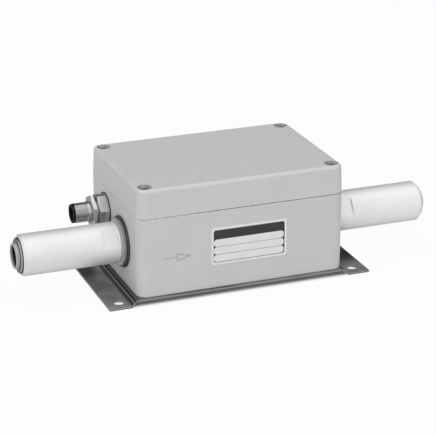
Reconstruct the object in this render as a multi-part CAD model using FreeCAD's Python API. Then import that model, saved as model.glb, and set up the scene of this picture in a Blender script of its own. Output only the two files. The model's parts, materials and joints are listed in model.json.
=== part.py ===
import FreeCAD, Part
import math
import os

V = FreeCAD.Vector

# In-line air flow sensor. X follows the air from inlet to outlet, Y points to the back, Z points up.
# The origin is the centre of the mounting holes, on the surface that the plate stands on. Sizes in mm.
# Each piece is drawn about the enclosure's middle, which lies a little past the middle of those holes.

# Cast enclosure
enclosure_length = 130.0
enclosure_width = 90.0
base_height = 48.65
lid_height = 17.5
lid_lean = 0.65
seam_gap = 0.15
wall = 3.5
floor_thickness = 3.5
lid_thickness = 3.0
corner_radius = 6.0
lid_edge_radius = 2.2
foot_edge_radius = 1.0
cavity_radius = 3.0
column_inset_x = 6.5
column_inset_y = 6.8
column_side = 5.5
groove_inset = 0.8
groove_width = 1.4
groove_depth = 1.2

# Joggled mounting plate
plate_thickness = 1.2
plate_rise = 2.9
plate_overhang = 17.8
plate_proud = 1.6
plate_corner_radius = 0.5
joggle_outset = 0.85
joggle_run = 3.0
bend_radius = 0.6
mount_hole_radius = 3.25
mount_hole_end_inset = 8.1
mount_hole_side_inset = 8.1
enclosure_shift = 0.6

# Screws
lid_screw_radius = 2.0
lid_screw_grip = 12.0
lid_head_radius = 3.7
lid_head_height = 2.6
lid_head_sink = 1.5
plate_screw_radius = 2.0
plate_head_radius = 3.5
plate_head_height = 2.3
plate_screw_x = 46.0
plate_screw_y = 20.0
plate_boss_radius = 4.5
plate_boss_height = 5.0
plate_boss_cover = 1.5
small_screw_radius = 1.5
small_head_radius = 2.75
small_head_height = 1.9
small_screw_grip = 5.0
drive_width = 0.9
drive_span = 4.2
drive_depth = 1.2

# Flow tubes, on one axis in front of the enclosure's middle. A reach is how far a tube stands out.
tube_front_offset = 14.6
tube_height = 25.2
tube_radius = 12.35
inlet_reach = 62.6
outlet_reach = 62.2
tube_shoulder_chamfer = 1.0
tube_end_chamfer = 1.1
flow_radius = 5.0
spigot_radius = 9.0
spigot_engagement = 14.0
flat_distance = 10.8
flat_start = 2.5
flat_length = 9.4
flat_elevation = 33.0
wall_seal_thickness = 1.3
wall_seal_radius = 15.6
wall_seal_edge = 0.5
washer_thickness = 2.0
washer_radius = 14.7
washer_edge = 0.4

# Push-in fitting in each tube's end
hose_radius = 6.2
hose_seat_length = 7.0
hose_seal_length = 4.0
cartridge_radius = 10.45
mouth_chamfer = 0.3
collar_proud = 1.3
collar_lip = 3.0
collar_edge = 0.3
release_radius = 7.8
inlet_ring_proud = 3.5
outlet_ring_proud = 3.0
release_travel = 1.6
release_end_gap = 2.0
release_edge = 0.4
release_flange = 0.9
release_flange_thickness = 1.2
release_nose = 2.0
release_groove_width = 0.5
release_groove_depth = 0.3
release_groove_inset = 2.0
grip_thickness = 0.6
grip_rim = 1.9
grip_cone = 1.2
grip_slots = 12
grip_slot_width = 0.6
seal_lip = 1.6

# Measuring block with its vortex bar and pick-up
block_size = 26.0
block_edge = 1.0
face_seal_thickness = 1.0
face_seal_bore_margin = 1.0
straightener_radius = 7.0
straightener_length = 6.0
straightener_hole_radius = 1.5
straightener_pitch_radius = 3.4
bar_x = -10.0
bar_width = 3.2
bar_depth = 4.0
bar_plug_radius = 3.0
bar_head_radius = 4.5
bar_head_height = 1.5
probe_x = 8.0
probe_radius = 2.5
probe_tip_radius = 1.2
probe_tip_drop = 1.0
probe_flange_width = 10.0
probe_flange_height = 2.5
probe_screw_spacing = 17.0
probe_cap_radius = 3.5
probe_cap_height = 6.0
probe_seal_width = 1.4
probe_seal_thickness = 1.2

# Circuit board and what is soldered on it
board_length = 96.0
board_width = 38.0
board_thickness = 1.6
board_back_margin = 3.0
board_hole_inset = 5.0
board_boss_radius = 3.5
board_boss_height = 6.0
chip_length = 19.0
chip_width = 6.4
chip_height = 3.4
chip_legs = 7
chip_leg_pitch = 2.54
chip_leg_width = 0.6
chip_leg_reach = 0.7
capacitor_radius = 4.0
capacitor_height = 11.0
capacitor_spacing = 11.0
trimmer_size = 6.6
trimmer_height = 5.0
trimmer_spacing = 11.0
trimmer_screw_radius = 1.4
trimmer_screw_height = 0.8
terminal_pitch = 5.0
terminal_depth = 8.0
terminal_height = 10.0
terminal_hole_depth = 4.0
terminal_gap = 0.5
wire_radius = 0.6
wire_bend = 4.0
wire_landing = 12.0

# Round plug connector in the inlet end wall
connector_back_offset = 15.9
connector_height = 34.5
connector_gasket_thickness = 0.6
connector_gasket_radius = 10.6
adapter_across_flats = 18.0
adapter_length = 5.2
adapter_turn = 47.0
adapter_flange_radius = 9.9
adapter_flange_thickness = 0.8
adapter_neck = 1.4
adapter_neck_radius = 6.9
adapter_thread_radius = 7.1
adapter_tail = 1.0
inner_nut_across_flats = 19.0
inner_nut_thickness = 3.0
lock_nut_across_flats = 18.0
lock_nut_thickness = 2.1
lock_nut_turn = 35.0
hex_chamfer = 0.8
shell_radius = 6.0
shell_seat_radius = 5.8
shell_bore_radius = 5.0
shell_reach = 20.9
shell_edge = 0.5
insert_head_radius = 5.8
insert_head = 0.7
insert_cup_radius = 4.2
insert_cup_depth = 8.0
insert_length = 16.0
key_width = 1.2
key_height = 0.7
pin_radius = 0.5
pin_circle_radius = 2.45
pin_reach = 6.5
pin_tail = 6.0

# Rating label on the front wall
label_length = 47.8
label_height = 23.2
label_thickness = 0.3
label_radius = 1.8
label_centre_x = 3.7
label_centre_height = 26.4

# Clearances
screw_clearance = 0.05
hole_clearance = 0.25
head_clearance = 0.5
running_clearance = 0.05
seat_clearance = 0.1
thread_clearance = 0.05
groove_clearance = 0.05
block_clearance = 0.15
hose_clearance = 0.3
lead_clearance = 0.05

# Places that follow from the sizes above
half_length = enclosure_length / 2
half_width = enclosure_width / 2
box_bottom = plate_rise + plate_thickness
floor_top = box_bottom + floor_thickness
plate_boss_top = floor_top + plate_boss_height
seam = box_bottom + base_height
lid_bottom = seam + seam_gap
lid_top = lid_bottom + lid_height
inner_end = half_length - wall
inner_side = half_width - wall
column_x = half_length - column_inset_x
column_y = half_width - column_inset_y
tube_y = -tube_front_offset
tube_z = box_bottom + tube_height
connector_y = connector_back_offset
connector_z = box_bottom + connector_height
shoulder = half_length + wall_seal_thickness + washer_thickness
spigot_end = inner_end - spigot_engagement
block_top = tube_z + block_size / 2
bore_floor = spigot_end - face_seal_thickness
board_bottom = floor_top + board_boss_height
board_top = board_bottom + board_thickness
board_y = inner_side - board_back_margin - board_width / 2
board_hole_x = board_length / 2 - board_hole_inset
board_hole_y = board_width / 2 - board_hole_inset
corners = [(sx, sy) for sx in (-1, 1) for sy in (-1, 1)]

# Places in the push-in fitting, along X from the tube's end face: less than zero is inside the tube
flange_front = collar_proud - collar_lip - seat_clearance
flange_back = flange_front - release_flange_thickness
nose_tip = flange_back - release_nose
collar_back = nose_tip - release_travel - release_end_gap
grip_front = collar_back - seat_clearance
grip_back = grip_front - grip_cone - grip_thickness
seal_face = grip_back - seat_clearance
hose_shoulder = seal_face - hose_seal_length
hose_seat = hose_shoulder - hose_seat_length


def rounded_wire(points, radii):
    """A closed flat outline through the points, each corner rounded by its own radius."""
    edges = []
    starts = []
    ends = []
    for i, corner in enumerate(points):
        radius = radii[i]
        to_last = (points[i - 1] - corner).normalize()
        to_next = (points[(i + 1) % len(points)] - corner).normalize()
        half_angle = to_last.getAngle(to_next) / 2
        reach = radius / math.tan(half_angle)
        start = corner + to_last * reach
        end = corner + to_next * reach
        starts.append(start)
        ends.append(end)
        if radius > 0:
            inwards = (to_last + to_next).normalize()
            middle = corner + inwards * (radius / math.sin(half_angle) - radius)
            edges.append(Part.Arc(start, middle, end).toShape())
    for i, end in enumerate(ends):
        start = starts[(i + 1) % len(points)]
        if end.distanceToPoint(start) > 1e-6:
            edges.append(Part.LineSegment(end, start).toShape())
    return Part.Wire(Part.__sortEdges__(edges))


def prism(wire, height):
    """A solid that stands on the flat outline, along +Z or downwards for a negative height."""
    return Part.Face(wire).extrude(V(0, 0, height))


def rounded_outline(length, width, radius, centre):
    """A level rectangle about centre with four rounded corners."""
    points = [
        centre + V(-length / 2, -width / 2, 0),
        centre + V(length / 2, -width / 2, 0),
        centre + V(length / 2, width / 2, 0),
        centre + V(-length / 2, width / 2, 0),
    ]
    return rounded_wire(points, [radius] * 4)


def rounded_box(length, width, height, radius, centre):
    """An upright block with rounded upright corners, standing on centre."""
    return prism(rounded_outline(length, width, radius, centre), height)


def block(length, width, height, centre):
    """A plain block that stands on centre."""
    return Part.makeBox(length, width, height, centre - V(length / 2, width / 2, 0))


def upright(radius, low, high, x, y):
    return Part.makeCylinder(radius, high - low, V(x, y, low))


def along_x(radius, start, end, y, z):
    return Part.makeCylinder(radius, end - start, V(start, y, z), V(1, 0, 0))


def turned(profile, y, z):
    """A piece turned about the line along X at (y, z), from its (x, radius) profile."""
    points = [V(x, y, z + radius) for x, radius in profile]
    face = Part.Face(Part.makePolygon(points + points[:1]))
    return face.revolve(V(0, y, z), V(1, 0, 0), 360)


def hexagon(across_flats, start, end, y, z, turn):
    """A hexagon bar along X, turned so far from flats on top, its corners taken off at the outer end."""
    corner = across_flats / math.sqrt(3)
    points = []
    for step in range(6):
        angle = math.radians(turn + 60 * step)
        points.append(V(start, y + corner * math.cos(angle), z + corner * math.sin(angle)))
    bar = Part.Face(Part.makePolygon(points + points[:1])).extrude(V(end - start, 0, 0))
    outer, inner = (start, end) if start < end else (end, start)
    turning = turned(
        [
            (inner, 0),
            (inner, corner + hex_chamfer),
            (outer + hex_chamfer, corner + hex_chamfer / 2),
            (outer, across_flats / 2),
            (outer, 0),
        ],
        y,
        z,
    )
    return bar.common(turning)


def edges_at_height(solid, height):
    found = []
    for edge in solid.Edges:
        box = edge.BoundBox
        if abs(box.ZMin - height) < 1e-4 and abs(box.ZMax - height) < 1e-4:
            found.append(edge)
    return found


def cavity_outline(grow, height):
    """The hollow's outline, stepped in round the four screw columns and grown sideways by grow."""
    a = inner_end + grow
    b = inner_side + grow
    na = column_x - column_side + grow
    nb = column_y - column_side + grow
    outer = cavity_radius + grow
    inner = cavity_radius - grow
    quarter = [(a, nb, outer), (na, nb, inner), (na, b, outer)]
    points = list(quarter)
    points += [(-x, y, radius) for x, y, radius in reversed(quarter)]
    points += [(-x, -y, radius) for x, y, radius in quarter]
    points += [(x, -y, radius) for x, y, radius in reversed(quarter)]
    return rounded_wire([V(x, y, height) for x, y, _ in points], [radius for _, _, radius in points])


def cross_recess(x, y, face, down):
    """The screwdriver's cross, cut from the head's face towards down (-1) or up (1)."""
    base = face if down > 0 else face - drive_depth
    bar = block(drive_span, drive_width, drive_depth, V(x, y, base))
    return bar.fuse(block(drive_width, drive_span, drive_depth, V(x, y, base)))


def screw_down(shank, grip, head, head_height, seat, x, y):
    """A pan-head screw driven downwards, with its head on the seat."""
    body = upright(head, seat, seat + head_height, x, y)
    body = body.fuse(upright(shank, seat - grip, seat, x, y)).removeSplitter()
    return body.cut(cross_recess(x, y, seat + head_height, -1))


def sheet_section(width_half):
    """The plate's joggled section, drawn at the front edge: feet, ramps and raised platform."""
    bend = math.atan2(plate_rise, joggle_run)
    shift = plate_thickness * math.tan(bend / 2)
    end = half_length + plate_overhang
    top = half_length + joggle_outset
    foot = top + joggle_run
    outer = bend_radius + plate_thickness
    lower = [(-end, 0, 0), (-foot, 0, outer), (-top, plate_rise, bend_radius)]
    lower += [(-x, z, radius) for x, z, radius in reversed(lower)]
    upper = [
        (end, plate_thickness, 0),
        (foot + shift, plate_thickness, bend_radius),
        (top + shift, box_bottom, outer),
    ]
    upper += [(-x, z, radius) for x, z, radius in reversed(upper)]
    outline = lower + upper
    points = [V(x, -width_half, z) for x, z, _ in outline]
    return rounded_wire(points, [radius for _, _, radius in outline])


def make_mounting_plate():
    half = half_width + plate_proud
    end = half_length + plate_overhang
    plate = Part.Face(sheet_section(half)).extrude(V(0, 2 * half, 0))
    trim = rounded_box(2 * end, 2 * half, box_bottom, plate_corner_radius, V(0, 0, 0))
    plate = plate.common(trim)
    for sx, sy in corners:
        x = sx * (end - mount_hole_end_inset)
        y = sy * (half - mount_hole_side_inset)
        plate = plate.cut(upright(mount_hole_radius, 0, plate_thickness, x, y))
    plate.translate(V(-enclosure_shift, 0, 0))
    for sx, sy in corners:
        x = sx * plate_screw_x
        y = sy * plate_screw_y
        plate = plate.cut(upright(plate_screw_radius + hole_clearance, plate_rise, box_bottom, x, y))
    return plate


def make_plate_screws():
    screws = []
    tip = plate_boss_top - plate_boss_cover - seat_clearance
    for sx, sy in corners:
        x = sx * plate_screw_x
        y = sy * plate_screw_y
        low = plate_rise - plate_head_height
        screw = upright(plate_head_radius, low, plate_rise, x, y)
        screw = screw.fuse(upright(plate_screw_radius, plate_rise, tip, x, y)).removeSplitter()
        screws.append(screw.cut(cross_recess(x, y, low, 1)))
    return Part.makeCompound(screws)


def make_housing_base():
    box = rounded_box(enclosure_length, enclosure_width, base_height, corner_radius, V(0, 0, box_bottom))
    box = box.makeFillet(foot_edge_radius, edges_at_height(box, box_bottom))
    box = box.cut(prism(cavity_outline(0, floor_top), base_height))
    groove_floor = seam - groove_depth
    groove = prism(cavity_outline(groove_inset + groove_width, groove_floor), groove_depth)
    groove = groove.cut(prism(cavity_outline(groove_inset, groove_floor), groove_depth))
    box = box.cut(groove)
    boss_root = box_bottom + floor_thickness / 2
    for sx, sy in corners:
        x = sx * plate_screw_x
        y = sy * plate_screw_y
        box = box.fuse(upright(plate_boss_radius, boss_root, plate_boss_top, x, y))
        x = sx * board_hole_x
        y = board_y + sy * board_hole_y
        box = box.fuse(upright(board_boss_radius, boss_root, board_bottom, x, y))
    for sx, sy in corners:
        x = sx * plate_screw_x
        y = sy * plate_screw_y
        top = plate_boss_top - plate_boss_cover
        box = box.cut(upright(plate_screw_radius + screw_clearance, box_bottom, top, x, y))
        x = sx * board_hole_x
        y = board_y + sy * board_hole_y
        low = board_top - small_screw_grip - seat_clearance
        box = box.cut(upright(small_screw_radius + screw_clearance, low, board_bottom, x, y))
        x = sx * column_x
        y = sy * column_y
        low = lid_screw_seat() - lid_screw_length() - seat_clearance
        box = box.cut(upright(lid_screw_radius + screw_clearance, low, seam, x, y))
    spigot_hole = spigot_radius + hole_clearance
    box = box.cut(along_x(spigot_hole, -half_length, half_length, tube_y, tube_z))
    thread_hole = adapter_thread_radius + hole_clearance
    box = box.cut(along_x(thread_hole, -half_length, -inner_end, connector_y, connector_z))
    return box.removeSplitter()


def lid_screw_seat():
    return lid_top - lid_head_sink - lid_head_height


def lid_screw_length():
    return lid_screw_seat() - seam + lid_screw_grip


def make_housing_lid():
    """A lid whose sides lean in towards the top, as a casting needs to leave its mould."""
    low = rounded_outline(enclosure_length, enclosure_width, corner_radius, V(0, 0, lid_bottom))
    top_length = enclosure_length - 2 * lid_lean
    top_width = enclosure_width - 2 * lid_lean
    high = rounded_outline(top_length, top_width, corner_radius - lid_lean, V(0, 0, lid_top))
    lid = Part.makeLoft([low, high], True, True)
    lid = lid.makeFillet(lid_edge_radius, edges_at_height(lid, lid_top))
    lid = lid.cut(prism(cavity_outline(0, lid_bottom), lid_height - lid_thickness))
    for sx, sy in corners:
        x = sx * column_x
        y = sy * column_y
        lid = lid.cut(upright(lid_screw_radius + hole_clearance, lid_bottom, lid_top, x, y))
        lid = lid.cut(upright(lid_head_radius + head_clearance, lid_screw_seat(), lid_top, x, y))
    return lid


def make_lid_gasket():
    low = seam - groove_depth
    height = groove_depth + seam_gap
    outer = prism(cavity_outline(groove_inset + groove_width - groove_clearance, low), height)
    return outer.cut(prism(cavity_outline(groove_inset + groove_clearance, low), height))


def make_lid_screws():
    screws = []
    for sx, sy in corners:
        x = sx * column_x
        y = sy * column_y
        screws.append(
            screw_down(
                lid_screw_radius,
                lid_screw_length(),
                lid_head_radius,
                lid_head_height,
                lid_screw_seat(),
                x,
                y,
            )
        )
    return Part.makeCompound(screws)


def make_rating_label():
    low = V(label_centre_x, -half_width, box_bottom + label_centre_height)
    points = []
    for sx, sz in ((-1, -1), (1, -1), (1, 1), (-1, 1)):
        points.append(low + V(sx * label_length / 2, 0, sz * label_height / 2))
    face = Part.Face(rounded_wire(points, [label_radius] * 4))
    return face.extrude(V(0, -label_thickness, 0))


def make_tube(reach):
    """Outlet tube: spigot through the wall, spanner flats, and a stepped socket in its outer end."""
    end = half_length + reach
    tube = turned(
        [
            (spigot_end, flow_radius),
            (spigot_end, spigot_radius),
            (shoulder, spigot_radius),
            (shoulder, tube_radius - tube_shoulder_chamfer),
            (shoulder + tube_shoulder_chamfer, tube_radius),
            (end - tube_end_chamfer, tube_radius),
            (end, tube_radius - tube_end_chamfer),
            (end, cartridge_radius + mouth_chamfer),
            (end - mouth_chamfer, cartridge_radius),
            (end + hose_shoulder, cartridge_radius),
            (end + hose_shoulder, hose_radius),
            (end + hose_seat, hose_radius),
            (end + hose_seat, flow_radius),
        ],
        tube_y,
        tube_z,
    )
    axis_point = V(0, tube_y, tube_z)
    for turn in (0, 180):
        cutter = Part.makeBox(flat_length, 2 * tube_radius, 2 * tube_radius)
        corner = V(shoulder + flat_start, tube_y - flat_distance - 2 * tube_radius, tube_z - tube_radius)
        cutter.translate(corner)
        cutter.rotate(axis_point, V(1, 0, 0), turn - flat_elevation)
        tube = tube.cut(cutter)
    return tube


def make_wall_seal():
    """A thick rubber ring under the washer, rounded along both of its outer edges."""
    outer = half_length + wall_seal_thickness
    ring = along_x(wall_seal_radius, half_length, outer, tube_y, tube_z)
    ring = ring.makeFillet(wall_seal_edge, [edge for edge in ring.Edges if edge.isClosed()])
    return ring.cut(along_x(spigot_radius + seat_clearance, half_length, outer, tube_y, tube_z))


def make_washer():
    bore = spigot_radius + seat_clearance
    start = half_length + wall_seal_thickness
    return turned(
        [
            (start, bore),
            (start, washer_radius),
            (shoulder - washer_edge, washer_radius),
            (shoulder, washer_radius - washer_edge),
            (shoulder, bore),
        ],
        tube_y,
        tube_z,
    )


def make_face_seal():
    outer = along_x(spigot_radius, bore_floor, spigot_end, tube_y, tube_z)
    return outer.cut(along_x(flow_radius + face_seal_bore_margin, bore_floor, spigot_end, tube_y, tube_z))


def make_collar():
    outer = cartridge_radius - seat_clearance
    lip = release_radius + running_clearance
    lip_back = collar_proud - collar_lip
    chamber = release_radius + release_flange + seat_clearance
    return turned(
        [
            (collar_back, chamber),
            (collar_back, outer),
            (collar_proud - collar_edge, outer),
            (collar_proud, outer - collar_edge),
            (collar_proud, lip),
            (lip_back, lip),
            (lip_back, chamber),
        ],
        tube_y,
        tube_z,
    )


def make_release_ring(proud):
    """The sliding ring that frees the hose: face, grip groove, stop flange and a nose for the teeth."""
    bore = hose_radius + hose_clearance
    groove = proud - release_groove_inset
    groove_floor = release_radius - release_groove_depth
    nose_radius = (release_radius + bore) / 2
    return turned(
        [
            (proud - release_edge, bore),
            (proud, bore + release_edge),
            (proud, release_radius - release_edge),
            (proud - release_edge, release_radius),
            (groove, release_radius),
            (groove, groove_floor),
            (groove - release_groove_width, groove_floor),
            (groove - release_groove_width, release_radius),
            (flange_front, release_radius),
            (flange_front, release_radius + release_flange),
            (flange_back, release_radius + release_flange),
            (flange_back, release_radius),
            (nose_tip, nose_radius),
            (nose_tip, bore),
        ],
        tube_y,
        tube_z,
    )


def make_grip_ring():
    """A thin spring ring, flat at its rim and coned inwards, slit into teeth."""
    rim = cartridge_radius - seat_clearance
    fold = rim - grip_rim
    bore = hose_radius + hose_clearance
    ring = turned(
        [
            (grip_front, rim),
            (grip_front, fold),
            (grip_front - grip_cone, bore),
            (grip_back, bore),
            (grip_front - grip_thickness, fold),
            (grip_front - grip_thickness, rim),
        ],
        tube_y,
        tube_z,
    )
    slit = Part.makeBox(grip_front - grip_back, grip_slot_width, fold)
    slit.translate(V(grip_back, tube_y - grip_slot_width / 2, tube_z))
    for step in range(grip_slots):
        tooth_gap = slit.copy()
        tooth_gap.rotate(V(0, tube_y, tube_z), V(1, 0, 0), 360 * step / grip_slots)
        ring = ring.cut(tooth_gap)
    return ring


def make_hose_seal():
    """The rubber ring behind the teeth, with an outer lip that backs the grip ring's rim."""
    lip_front = grip_front - grip_thickness - seat_clearance
    outer = cartridge_radius - seat_clearance
    bore = hose_radius + hose_clearance
    return turned(
        [
            (hose_shoulder, bore),
            (seal_face, bore),
            (seal_face, outer - seal_lip),
            (lip_front, outer - seal_lip),
            (lip_front, outer),
            (hose_shoulder, outer),
        ],
        tube_y,
        tube_z,
    )


def make_measuring_block():
    length = 2 * (inner_end - block_clearance)
    block_bottom = block_top - block_size
    body = rounded_box(length, block_size, block_size, cavity_radius, V(0, tube_y, block_bottom))
    rims = edges_at_height(body, block_top) + edges_at_height(body, block_bottom)
    body = body.makeChamfer(block_edge, rims)
    body = body.cut(along_x(flow_radius, -inner_end, inner_end, tube_y, tube_z))
    thread = spigot_radius + thread_clearance
    body = body.cut(along_x(thread, bore_floor, inner_end, tube_y, tube_z))
    body = body.cut(along_x(thread, -inner_end, -bore_floor, tube_y, tube_z))
    seat = straightener_radius + seat_clearance
    body = body.cut(along_x(seat, -bore_floor, straightener_length - bore_floor, tube_y, tube_z))
    body = body.cut(upright(bar_plug_radius + screw_clearance, tube_z, block_top, bar_x, tube_y))
    body = body.cut(upright(probe_radius + screw_clearance, tube_z, block_top, probe_x, tube_y))
    seal_seat = probe_radius + probe_seal_width + seat_clearance
    body = body.cut(upright(seal_seat, block_top - probe_seal_thickness, block_top, probe_x, tube_y))
    for side in (-1, 1):
        x = probe_x + side * probe_screw_spacing / 2
        low = block_top + probe_flange_height - small_screw_length() - seat_clearance
        body = body.cut(upright(small_screw_radius + screw_clearance, low, block_top, x, tube_y))
    return body


def small_screw_length():
    return probe_flange_height + small_screw_grip


def make_flow_straightener():
    start = -bore_floor
    end = start + straightener_length
    disc = along_x(straightener_radius, start, end, tube_y, tube_z)
    holes = [along_x(straightener_hole_radius, start, end, tube_y, tube_z)]
    for step in range(6):
        angle = math.radians(60 * step)
        y = tube_y + straightener_pitch_radius * math.cos(angle)
        z = tube_z + straightener_pitch_radius * math.sin(angle)
        holes.append(along_x(straightener_hole_radius, start, end, y, z))
    return disc.cut(Part.makeCompound(holes))


def make_vortex_bar():
    """A wedge-shaped bar across the air stream, hung from a plug in the block's top."""
    half = bar_width / 2
    foot = tube_z - math.sqrt(flow_radius**2 - half**2) + seat_clearance
    front = bar_x - bar_depth / 2
    back = bar_x + bar_depth / 2
    points = [
        V(front, tube_y - half, foot),
        V(back, tube_y - half / 4, foot),
        V(back, tube_y + half / 4, foot),
        V(front, tube_y + half, foot),
    ]
    plug_low = tube_z + flow_radius
    blade = prism(Part.makePolygon(points + points[:1]), plug_low - foot)
    plug = upright(bar_plug_radius, plug_low, block_top, bar_x, tube_y)
    head = upright(bar_head_radius, block_top, block_top + bar_head_height, bar_x, tube_y)
    return blade.fuse([plug, head]).removeSplitter()


def make_pickup_probe():
    flange_length = probe_screw_spacing + probe_flange_width
    centre = V(probe_x, tube_y, block_top)
    probe = rounded_box(
        flange_length,
        probe_flange_width,
        probe_flange_height,
        probe_flange_width / 2 - seat_clearance,
        centre,
    )
    cap_low = block_top + probe_flange_height
    tip = tube_z - probe_tip_drop
    probe = probe.fuse(
        [
            upright(probe_cap_radius, cap_low, cap_low + probe_cap_height, probe_x, tube_y),
            upright(probe_radius, tube_z + flow_radius, block_top, probe_x, tube_y),
            upright(probe_tip_radius, tip, tube_z + flow_radius, probe_x, tube_y),
        ]
    ).removeSplitter()
    for side in (-1, 1):
        x = probe_x + side * probe_screw_spacing / 2
        probe = probe.cut(upright(small_screw_radius + hole_clearance, block_top, cap_low, x, tube_y))
    return probe


def make_probe_seal():
    low = block_top - probe_seal_thickness
    outer = upright(probe_radius + probe_seal_width, low, block_top, probe_x, tube_y)
    return outer.cut(upright(probe_radius + seat_clearance, low, block_top, probe_x, tube_y))


def make_probe_screws():
    screws = []
    for side in (-1, 1):
        x = probe_x + side * probe_screw_spacing / 2
        seat = block_top + probe_flange_height
        screws.append(
            screw_down(
                small_screw_radius,
                small_screw_length(),
                small_head_radius,
                small_head_height,
                seat,
                x,
                tube_y,
            )
        )
    return Part.makeCompound(screws)


def make_circuit_board():
    board = block(board_length, board_width, board_thickness, V(0, board_y, board_bottom))
    for sx, sy in corners:
        x = sx * board_hole_x
        y = board_y + sy * board_hole_y
        board = board.cut(upright(small_screw_radius + hole_clearance, board_bottom, board_top, x, y))
    return board


def make_board_screws():
    screws = []
    for sx, sy in corners:
        x = sx * board_hole_x
        y = board_y + sy * board_hole_y
        screws.append(
            screw_down(
                small_screw_radius,
                small_screw_grip,
                small_head_radius,
                small_head_height,
                board_top,
                x,
                y,
            )
        )
    return Part.makeCompound(screws)


def make_signal_chip():
    """A chip in a two-row package, its legs folded down to the board."""
    stand = chip_leg_reach
    chip = block(chip_length, chip_width, chip_height, V(0, board_y, board_top + stand))
    legs = []
    for row in (-1, 1):
        for step in range(chip_legs):
            x = (step - (chip_legs - 1) / 2) * chip_leg_pitch
            y = board_y + row * (chip_width / 2 + chip_leg_width / 2)
            height = stand + chip_height / 2
            legs.append(block(chip_leg_width, chip_leg_width, height, V(x, y, board_top)))
    return chip.fuse(legs).removeSplitter()


def make_capacitors():
    cans = []
    y = board_y - board_width / 2 + 2 * capacitor_radius
    for side in (0, 1):
        x = board_length / 4 + side * capacitor_spacing - capacitor_spacing / 2
        cans.append(upright(capacitor_radius, board_top, board_top + capacitor_height, x, y))
    return Part.makeCompound(cans)


def make_trimmers():
    trimmers = []
    y = board_y + board_width / 2 - trimmer_size
    for side in (0, 1):
        x = board_length / 4 + side * trimmer_spacing - trimmer_spacing / 2
        top = board_top + trimmer_height
        trimmer = block(trimmer_size, trimmer_size, trimmer_height, V(x, y, board_top))
        screw = upright(trimmer_screw_radius, top, top + trimmer_screw_height, x, y)
        trimmers.append(trimmer.fuse(screw).removeSplitter())
    return Part.makeCompound(trimmers)


def lead_ends():
    """The connector's four leads: where each pin stands and at which x its wire drops to its terminal."""
    offset = pin_circle_radius / math.sqrt(2)
    first = small_head_radius + terminal_gap + terminal_pitch / 2 - board_hole_x
    ends = []
    for step, (sz, sy) in enumerate(corners):
        y = connector_y + sy * offset
        z = connector_z + sz * offset
        ends.append((y, z, first + step * terminal_pitch))
    return ends


def make_terminal_block():
    leads = lead_ends()
    length = len(leads) * terminal_pitch
    centre_x = (leads[0][2] + leads[-1][2]) / 2
    body = block(length, terminal_depth, terminal_height, V(centre_x, connector_y, board_top))
    top = board_top + terminal_height
    for y, _, x in leads:
        body = body.cut(upright(wire_radius + lead_clearance, top - terminal_hole_depth, top, x, y))
    return body


def wire_along(points):
    """A round wire along straight runs joined by equal tangent arcs."""
    edges = []
    start = points[0]
    for i in range(1, len(points) - 1):
        corner = points[i]
        back = (points[i - 1] - corner).normalize()
        ahead = (points[i + 1] - corner).normalize()
        half_angle = back.getAngle(ahead) / 2
        reach = wire_bend / math.tan(half_angle)
        bend_start = corner + back * reach
        bend_end = corner + ahead * reach
        middle = corner + (back + ahead).normalize() * (wire_bend / math.sin(half_angle) - wire_bend)
        edges.append(Part.LineSegment(start, bend_start).toShape())
        edges.append(Part.Arc(bend_start, middle, bend_end).toShape())
        start = bend_end
    edges.append(Part.LineSegment(start, points[-1]).toShape())
    path = Part.Wire(edges)
    section = Part.Wire([Part.makeCircle(wire_radius, points[0], points[1] - points[0])])
    return path.makePipeShell([section], True, False)


def make_connector_wires():
    wires = []
    landing = board_top + terminal_height - terminal_hole_depth
    for y, z, x in lead_ends():
        start = pin_tail_end() + lead_clearance
        wires.append(wire_along([V(start, y, z), V(x, y, z), V(x, y, landing)]))
    return Part.makeCompound(wires)


def make_probe_wires():
    wires = []
    top = block_top + probe_flange_height + probe_cap_height
    crest = top + 2 * wire_bend
    landing_y = tube_y + block_size / 2 + wire_landing
    for side in (-1, 1):
        x = probe_x + side * probe_cap_radius / 2
        wires.append(
            wire_along(
                [
                    V(x, tube_y, top),
                    V(x, tube_y, crest),
                    V(x, landing_y, crest),
                    V(x, landing_y, board_top),
                ]
            )
        )
    return Part.makeCompound(wires)


def connector_out(distance):
    """The place along X that lies this far outside the inlet end wall."""
    return -half_length - distance


def pin_tail_end():
    return connector_out(shell_reach + insert_head - insert_length - pin_tail)


def make_connector_gasket():
    face = connector_out(connector_gasket_thickness)
    bore = adapter_thread_radius + seat_clearance
    outer = along_x(connector_gasket_radius, face, -half_length, connector_y, connector_z)
    return outer.cut(along_x(bore, face, -half_length, connector_y, connector_z))


def make_connector_adapter():
    """The screwed body in the wall: neck for the lock nut, hexagon, round flange and threaded stem."""
    seat = connector_out(connector_gasket_thickness)
    flange = seat - adapter_flange_thickness
    face = flange - adapter_length
    tip = face - adapter_neck
    tail = -inner_end + inner_nut_thickness + adapter_tail
    body = hexagon(adapter_across_flats, face, flange, connector_y, connector_z, adapter_turn)
    body = body.fuse(along_x(adapter_neck_radius, tip, face, connector_y, connector_z))
    body = body.fuse(along_x(adapter_flange_radius, flange, seat, connector_y, connector_z))
    body = body.fuse(along_x(adapter_thread_radius, seat, tail, connector_y, connector_z))
    bore = shell_seat_radius + thread_clearance
    return body.cut(along_x(bore, tip, tail, connector_y, connector_z)).removeSplitter()


def make_connector_inner_nut():
    start = -inner_end
    end = start + inner_nut_thickness
    nut = hexagon(inner_nut_across_flats, start, end, connector_y, connector_z, 0)
    return nut.cut(along_x(adapter_thread_radius + thread_clearance, start, end, connector_y, connector_z))


def lock_nut_face():
    body_length = adapter_flange_thickness + adapter_length + adapter_neck
    return connector_out(connector_gasket_thickness + body_length + seat_clearance + lock_nut_thickness)


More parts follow.
